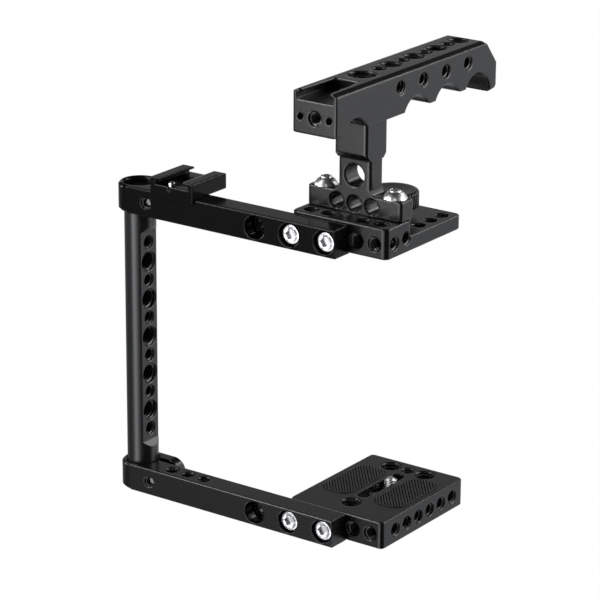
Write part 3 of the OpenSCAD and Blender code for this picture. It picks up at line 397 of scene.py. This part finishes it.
shoeScrew = dict(headD=6.8, headH=2.25, key=3.0, socketDepth=1.3, rim=0.3, dish=0.0, dome=False,
                 shankD=4.9, shankL=8.2, plainL=1.0, pitch=0.8, tip=0.5)

# where the screws' seats lie, in mm
seat = dict(armBoltIn=7.8, clampY=8.01, handleBoltDown=9.5, stemScrewOut=18.7, stemScrewUp=9.5,
            camera=(middle, 46.8, 6.4), shoe=(27.2, -2.26, 153.44))
ahead, back, up, down = (0, -1, 0), (0, 1, 0), (0, 0, 1), (0, 0, -1)
boltY = cage["armFront"] + seat["armBoltIn"]
for name, node, body, height in (("basePlateBolts", "base_plate_bolts", "lower", half),
                                 ("topPlateBolts", "top_plate_bolts", "upper", level)):
    places = [((cage["armBoltFirst"] + i * 2 * pitch, boltY, height), ahead) for i in (1, 2)]
    makeScrews(name, node, body, "satinSteel", places, armBolt)
for name, node, body, height in (("lowerClampScrew", "lower_clamp_screw", "lower_clamp", half),
                                 ("upperClampScrew", "upper_clamp_screw", "upper_clamp", level)):
    makeScrews(name, node, body, "brightSteel",
               [((cage["clampX"], seat["clampY"], height), back)], clampScrew)
makeScrews("handleBolt", "handle_bolt", "upper", "blackSteel",
           [((middle, cage["stemY"], cage["handleTop"] - seat["handleBoltDown"]), up)], handleBolt)
stemSeatZ = cage["blockTop"] + seat["stemScrewUp"]
stemSeats = [((middle + side * seat["stemScrewOut"], cage["stemY"], stemSeatZ), up) for side in (-1, 1)]
makeScrews("stemScrews", "stem_screws", "upper", "satinSteel", stemSeats, stemScrew)
makeScrews("cameraScrew", "camera_screw", "camera_screw", "satinSteel",
           [(seat["camera"], down)], cameraScrew)
makeScrews("shoeScrew", "shoe_screw", "upper", "blackSteel", [(seat["shoe"], up)], shoeScrew)
print("screws turned")


# Lock wheel: a turned outline whose rim is cut by slanted grooves
wheel = dict(x=111.4, y=44.7, low=148.8, top=156.8, r=12.1, studR=3.125, studLow=137.15, studEdge=0.4,
             ridges=40, stepsPerRidge=8, rimRows=14, depth=0.6, slant=0.9, roundness=0.7,
             chamfer=1.0, lowChamfer=0.6, crownEdge=0.3, crownCut=0.35, faceEdge=2.2,
             dishShare=0.55, dish=0.25)


def knurledWheel(w):
    # radius falls by a rounded wave of the angle; the wave's phase shifts with the height
    around = w["ridges"] * w["stepsPerRidge"]
    angle = np.linspace(0, 2 * math.pi, around, endpoint=False)
    c, r, low, top = w["chamfer"], w["r"], w["low"], w["top"]
    stud, studLow, studEdge = w["studR"], w["studLow"], w["studEdge"]
    plain = [(0, studLow, 0), (stud - studEdge, studLow, 0), (stud, studLow + studEdge, 0),
             (stud, low, 0), (r - c, low, 0)]
    rim = [(r, z, 1) for z in np.linspace(low + c * w["lowChamfer"], top - c, w["rimRows"])]
    crown = [(r - c * w["crownEdge"], top - c * w["crownEdge"], w["crownCut"]), (r - c, top, 0),
             (r - c * w["faceEdge"], top, 0), (r * w["dishShare"], top - w["dish"], 0),
             (0, top - w["dish"], 0)]
    rows = []
    for radius, height, cut in plain + rim + crown:
        shift = w["slant"] * (height - low) / (top - low) * 2 * math.pi
        wave = (0.5 + 0.5 * np.cos(w["ridges"] * angle + shift)) ** w["roundness"]
        reach = radius - cut * w["depth"] * (1 - wave)
        rows.append(np.stack([w["x"] + reach * np.cos(angle), w["y"] + reach * np.sin(angle),
                              np.full(around, height)], axis=1))
    return np.concatenate(rows), gridFaces(len(rows), around, True)


knob = makePiece("lockWheel", *knurledWheel(wheel), "blackAnodised", sharpAngle=40)
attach(knob, "lock_wheel")
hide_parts("lock_wheel")


# Pads: a round-cornered sheet whose top is a wave of slanted ribs
padLook = dict(width=16.4, length=36.0, corner=6.0, low=11.7, top=13.6, spread=29.0, middleY=38.0,
               rib=1.35, depth=1.3, direction=38.5, border=0.5, roundness=0.9, rows=241, columns=121)


def ribbedPad(side, p):
    # rows run along the pad; each row is as wide as the round-cornered outline there,
    # and the top falls in a rounded wave of the distance across the ribs
    v = np.linspace(-1, 1, p["rows"])
    u = np.linspace(-1, 1, p["columns"])
    y = v * p["length"] / 2
    over = np.clip(np.abs(y) - (p["length"] / 2 - p["corner"]), 0, p["corner"])
    halfWidth = p["width"] / 2 - p["corner"] + np.sqrt(np.maximum(p["corner"] ** 2 - over ** 2, 0))
    x = u[None, :] * halfWidth[:, None]
    yy = np.repeat(y[:, None], len(u), axis=1)
    a = math.radians(p["direction"])
    across = x * math.cos(a) + yy * math.sin(a)
    wave = np.abs(np.sin(math.pi * across / p["rib"])) ** p["roundness"]
    inset = np.minimum(halfWidth[:, None] - np.abs(x), p["length"] / 2 - np.abs(yy))
    edge = np.clip(inset / p["border"], 0, 1)
    z = p["top"] - p["depth"] * (1 - wave) * edge
    centreX = cage["plateMiddle"] + side * p["spread"] / 2
    top = np.stack([x + centreX, yy + p["middleY"], z], axis=-1)
    low = top.copy()
    low[..., 2] = p["low"]
    rows, columns = x.shape
    topQuads = gridFaces(rows, columns, False)
    count = rows * columns
    rim = np.concatenate([np.arange(columns), np.arange(1, rows) * columns + columns - 1,
                          (rows - 1) * columns + np.arange(columns - 2, -1, -1),
                          np.arange(rows - 2, 0, -1) * columns])
    nextRim = np.roll(rim, -1)
    wall = np.stack([rim, nextRim, nextRim + count, rim + count], axis=1)
    quads = np.concatenate([topQuads, wall, topQuads[:, ::-1] + count])
    return np.concatenate([top.reshape(-1, 3), low.reshape(-1, 3)]), quads


for side, name, node in ((-1, "leftRibbedPad", "left_pad"), (1, "rightRibbedPad", "right_pad")):
    pad = makePiece(name, *ribbedPad(side, padLook), "padRubber", sharpAngle=60)
    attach(pad, "lower")
    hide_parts(node)


# Stop pin of the shoe: a small turned pin whose domed top follows part of an ellipse
stopPin = dict(x=26.1, y=-9.32, low=153.85, top=158.2, r=1.55, dome=0.9, domeFrom=0.2, domeTo=1.5,
               domeRings=7, around=40)


def pinSurface(p):
    shoulder = p["top"] - p["dome"]
    rings = [(0, p["low"], 0), (p["r"], p["low"], 0), (p["r"], shoulder, 0)]
    for a in np.linspace(p["domeFrom"], p["domeTo"], p["domeRings"]):
        rings.append((p["r"] * math.cos(a), shoulder + p["dome"] * math.sin(a), 0))
    rings.append((0, p["top"], 0))
    points, quads = ringSurface(rings, around=p["around"])
    return points + [p["x"], p["y"], 0], quads


pin = makePiece("shoeStopPin", *pinSurface(stopPin), "brightSteel")
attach(pin, "upper")
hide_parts("shoe_stop_pin")
print("wheel, pads and pin made")


# CAD nodes that stay get their finish; the upper arm and the shoe take the glossier black anodising
# whose lowered specular level paints shade on them
nodeFinish = dict(
    pillar="turnedAnodised", lower_arm="blackAnodised", upper_arm="glossAnodisedPaintedShade",
    base_plate="blackAnodised", top_plate="blackAnodised", lock_wheel_collar="blackAnodised",
    handle_stem="satinAnodised", handle_grip="satinAnodised", accessory_shoe="glossAnodisedPaintedShade",
    camera_screw_washer="brightSteel", shoe_foot="brightSteel", handle_dowels="brightSteel",
)
for node, finish in nodeFinish.items():
    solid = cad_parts[node]
    solid.data.materials.clear()
    solid.data.materials.append(materials[finish])
print("finishes given")


# Stage: a pale floor that shows white to the camera, and a world whose glow is what the metal mirrors
stageLook = dict(
    floorColour=(0.80, 0.80, 0.80), floorWhite=0.995, floorRoughness=0.9, floorSpecular=0.1,
    size=6.0,  # half the floor's side in m
    worldColour=(0.80, 0.82, 0.85), worldStrength=0.2, worldInMirror=0.02,
    glowFade=(0.0, 0.3),  # heights of a direction between which the glow dies away
)
# azimuth in degrees, 0 straight in front and 90 at the right, and the glow's level there
glowRing = (
    (-180, 0.9), (-130, 0.5), (-100, 0.25), (-71, 0.1), (-48, 0.2), (-30, 0.35), (-11, 5.0),
    (10, 1.2), (25, 0.0), (98, 0.0), (112, 1.5), (124, 1.5), (136, 0.75), (150, 0.75), (180, 0.9),
)


def makeFloor(look):
    # diffuse for the lamps' light, plain white for the camera and clear for mirrored rays
    size = look["size"]
    corners = np.array([[-size, -size, 0], [size, -size, 0], [size, size, 0], [-size, size, 0]])
    mesh = bpy.data.meshes.new("floor")
    mesh.from_pydata(corners.tolist(), [], [(0, 1, 2, 3)])
    floor = bpy.data.objects.new("floor", mesh)
    bpy.context.collection.objects.link(floor)
    mat, nodes, links, shader = startMaterial("paleFloor")
    shader.inputs["Base Color"].default_value = look["floorColour"] + (1,)
    shader.inputs["Roughness"].default_value = look["floorRoughness"]
    shader.inputs["Specular IOR Level"].default_value = look["floorSpecular"]
    white = addNode(nodes, "ShaderNodeEmission")
    clear = addNode(nodes, "ShaderNodeBsdfTransparent")
    path = addNode(nodes, "ShaderNodeLightPath")
    share = addNode(nodes, "ShaderNodeMath", operation="MULTIPLY")
    share.inputs[1].default_value = look["floorWhite"]
    forCamera = addNode(nodes, "ShaderNodeMixShader")
    forMirror = addNode(nodes, "ShaderNodeMixShader")
    links.new(path.outputs["Is Camera Ray"], share.inputs[0])
    links.new(share.outputs[0], forCamera.inputs["Fac"])
    links.new(shader.outputs["BSDF"], forCamera.inputs[1])
    links.new(white.outputs["Emission"], forCamera.inputs[2])
    links.new(path.outputs["Is Glossy Ray"], forMirror.inputs["Fac"])
    links.new(forCamera.outputs["Shader"], forMirror.inputs[1])
    links.new(clear.outputs["BSDF"], forMirror.inputs[2])
    output = [n for n in nodes if n.type == "OUTPUT_MATERIAL"][0]
    links.new(forMirror.outputs["Shader"], output.inputs["Surface"])
    mesh.materials.append(mat)


def glowLevel(nodes, links, look):
    # the ring's level at the direction's azimuth, faded from the horizon upwards; the azimuth is
    # the angle whose tangent is x over minus y, and the soft light is taken off, as it comes on top
    way = addNode(nodes, "ShaderNodeTexCoord").outputs["Generated"]
    parts = addNode(nodes, "ShaderNodeSeparateXYZ")
    front = addNode(nodes, "ShaderNodeMath", operation="MULTIPLY")
    front.inputs[1].default_value = -1.0
    azimuth = addNode(nodes, "ShaderNodeMath", operation="ARCTAN2")
    share = addNode(nodes, "ShaderNodeMapRange")
    share.inputs["From Min"].default_value, share.inputs["From Max"].default_value = -math.pi, math.pi
    ring = addNode(nodes, "ShaderNodeValToRGB")
    peak = max(level for _, level in glowRing)
    stops = ring.color_ramp.elements
    while len(stops) < len(glowRing):
        stops.new(0.5)
    for stop, (angle, level) in zip(stops, glowRing):
        stop.position = (angle + 180) / 360
        stop.color = (level / peak,) * 3 + (1,)
    fade = addNode(nodes, "ShaderNodeMapRange", interpolation_type="SMOOTHSTEP")
    fade.inputs["From Min"].default_value, fade.inputs["From Max"].default_value = look["glowFade"]
    fade.inputs["To Min"].default_value, fade.inputs["To Max"].default_value = peak, 0.0
    level = addNode(nodes, "ShaderNodeMath", operation="MULTIPLY_ADD")
    level.inputs[2].default_value = look["worldInMirror"] - look["worldStrength"]
    links.new(way, parts.inputs[0])
    links.new(parts.outputs["Y"], front.inputs[0])
    links.new(parts.outputs["X"], azimuth.inputs[0])
    links.new(front.outputs[0], azimuth.inputs[1])
    links.new(azimuth.outputs[0], share.inputs["Value"])
    links.new(share.outputs["Result"], ring.inputs["Fac"])
    links.new(parts.outputs["Z"], fade.inputs["Value"])
    links.new(ring.outputs["Color"], level.inputs[0])
    links.new(fade.outputs["Result"], level.inputs[1])
    return level.outputs[0]


def makeWorld(look):
    # white for the camera; a soft even light for all other rays, and the glow on top for mirrored ones
    world = bpy.data.worlds.new("studio")
    bpy.context.scene.world = world
    world.use_nodes = True
    nodes, links = world.node_tree.nodes, world.node_tree.links
    nodes.clear()
    path = addNode(nodes, "ShaderNodeLightPath")
    strength = addNode(nodes, "ShaderNodeMath", operation="MULTIPLY_ADD")
    strength.inputs[2].default_value = look["worldStrength"]
    links.new(glowLevel(nodes, links, look), strength.inputs[0])
    links.new(path.outputs["Is Glossy Ray"], strength.inputs[1])
    soft = addNode(nodes, "ShaderNodeBackground")
    soft.inputs["Color"].default_value = look["worldColour"] + (1,)
    links.new(strength.outputs[0], soft.inputs["Strength"])
    white = addNode(nodes, "ShaderNodeBackground", Strength=1.0)
    white.inputs["Color"].default_value = (1, 1, 1, 1)
    mix = addNode(nodes, "ShaderNodeMixShader")
    output = addNode(nodes, "ShaderNodeOutputWorld")
    links.new(path.outputs["Is Camera Ray"], mix.inputs["Fac"])
    links.new(soft.outputs["Background"], mix.inputs[1])
    links.new(white.outputs["Background"], mix.inputs[2])
    links.new(mix.outputs["Shader"], output.inputs["Surface"])


# Lamps: place and aim in mm, size in m, power in watts
lamps = dict(
    keyRight=dict(place=(800, 420, 420), aim=(100, 20, 170), size=(0.5, 0.6), power=6.0),
    stripLeft=dict(place=(-330, -920, 60), aim=(0, 0, 90), size=(0.14, 0.4), power=1.5),
    frontSoft=dict(place=(-484, -730, 640), aim=(125, 0, 80), size=(0.4, 0.4), power=6.5),
    topBack=dict(place=(-500, 900, 310), aim=(90, 20, 100), size=(1.2, 0.5), power=0.52),
    overhead=dict(place=(-370, -330, 1000), aim=(90, 20, 100), size=(0.3, 0.3), power=1.2),
    edgeBack=dict(place=(416, 839, 775), aim=(60, 0, 160), size=(0.25, 0.25), power=1.3),
    cameraHigh=dict(place=(560, -760, 900), aim=(100, 0, 180), size=(0.2, 0.2), power=0.8),
    sideLeft=dict(place=(-900, -250, 260), aim=(60, 0, 120), size=(0.3, 0.5), power=3.0),
    backHigh=dict(place=(620, 950, 700), aim=(110, 30, 180), size=(0.4, 0.6), power=0.8),
)


def makeLamp(name, look):
    data = bpy.data.lights.new(name, "AREA")
    data.shape = "RECTANGLE"
    data.size, data.size_y = look["size"]
    data.energy = look["power"]
    lamp = bpy.data.objects.new(name, data)
    bpy.context.collection.objects.link(lamp)
    place, aim = Vector(look["place"]) * mm, Vector(look["aim"]) * mm
    lamp.location = place
    lamp.rotation_mode = "QUATERNION"
    lamp.rotation_quaternion = (aim - place).to_track_quat("-Z", "Y")


makeFloor(stageLook)
makeWorld(stageLook)
for lampName, lampLook in lamps.items():
    makeLamp(lampName, lampLook)
bpy.context.scene.view_settings.view_transform = "Standard"
print("stage lit")
